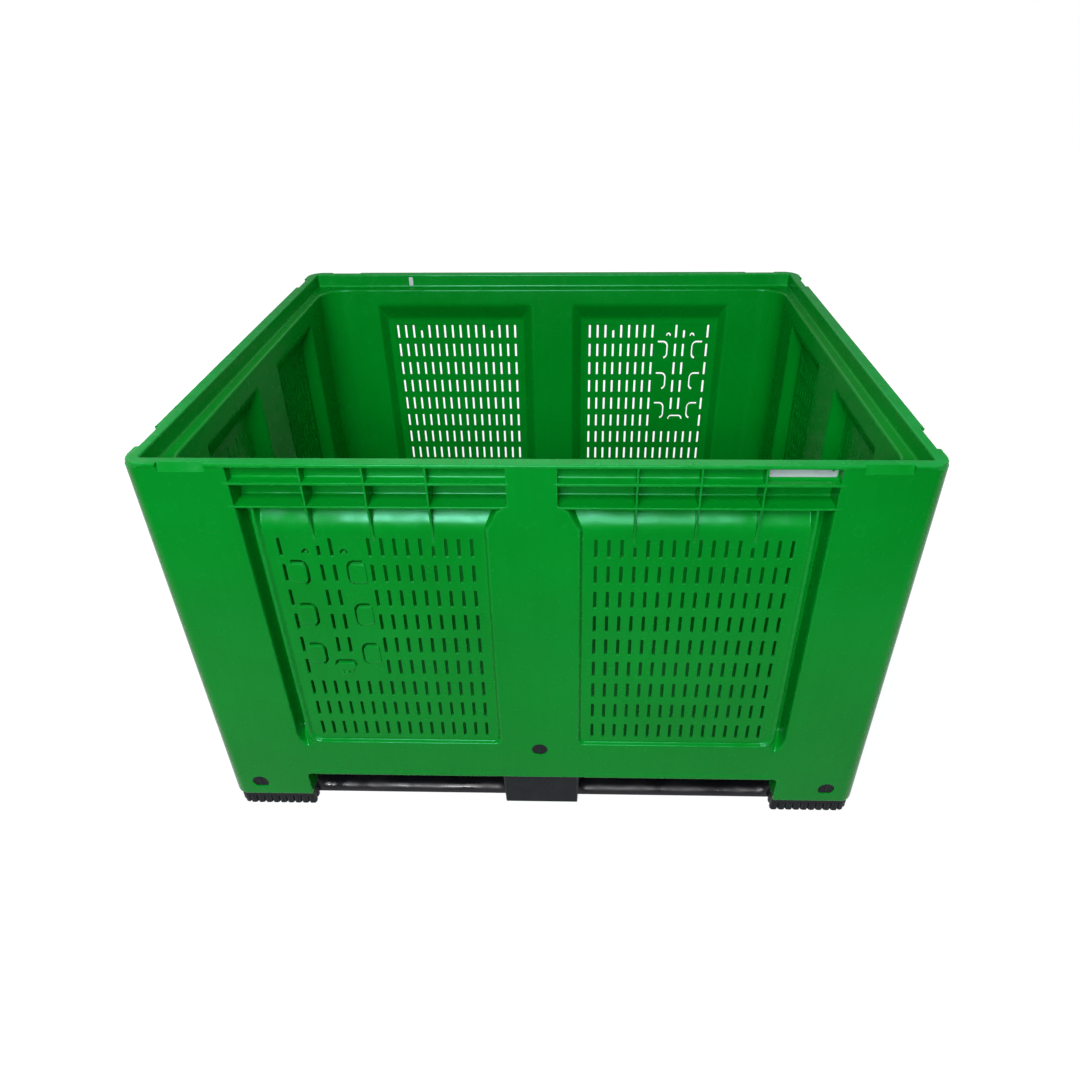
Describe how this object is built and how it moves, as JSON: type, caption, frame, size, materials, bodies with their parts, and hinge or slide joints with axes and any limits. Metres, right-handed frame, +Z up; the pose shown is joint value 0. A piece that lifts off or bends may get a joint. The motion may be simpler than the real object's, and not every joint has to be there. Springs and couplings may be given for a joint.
{
  "type": "fruit bin",
  "caption": "Open-topped vented pallet bin for fruit: slotted walls between hollow posts, ribbed headers under a stacking rim, and runners that leave fork entries.",
  "frame": {"origin": "on the ground under the middle of the bin", "axes": "+X to the right along the long front wall, +Y from the front wall to the rear wall, +Z up"},
  "size_m": [1.2, 1, 0.76],
  "materials": {
    "green_plastic": "satin moulded polyethylene",
    "black_plastic": "satin moulded polyethylene",
    "white_plate": "smooth"
  },
  "bodies": {
    "root": {"corner_post_front_left": "green_plastic", "corner_post_front_right": "green_plastic", "corner_post_rear_left": "green_plastic", "corner_post_rear_right": "green_plastic", "mid_post_front": "green_plastic", "mid_post_right": "green_plastic", "mid_post_rear": "green_plastic", "mid_post_left": "green_plastic", "vent_front_left": "green_plastic", "vent_front_right": "green_plastic", "vent_right_front": "green_plastic", "vent_right_rear": "green_plastic", "vent_rear_right": "green_plastic", "vent_rear_left": "green_plastic", "vent_left_rear": "green_plastic", "vent_left_front": "green_plastic", "header_front_left": "green_plastic", "header_front_right": "green_plastic", "header_right_front": "green_plastic", "header_right_rear": "green_plastic", "header_rear_right": "green_plastic", "header_rear_left": "green_plastic", "header_left_rear": "green_plastic", "header_left_front": "green_plastic", "skirt_front_left": "green_plastic", "skirt_front_right": "green_plastic", "skirt_right_front": "green_plastic", "skirt_right_rear": "green_plastic", "skirt_rear_right": "green_plastic", "skirt_rear_left": "green_plastic", "skirt_left_rear": "green_plastic", "skirt_left_front": "green_plastic", "rim_front": "green_plastic", "rim_right": "green_plastic", "rim_rear": "green_plastic", "rim_left": "green_plastic", "floor_deck": "green_plastic", "runner_front": "black_plastic", "runner_middle": "black_plastic", "runner_rear": "black_plastic", "runner_clips": "black_plastic", "label_plate": "white_plate", "rim_tag": "white_plate"}
  },
  "joints": []
}
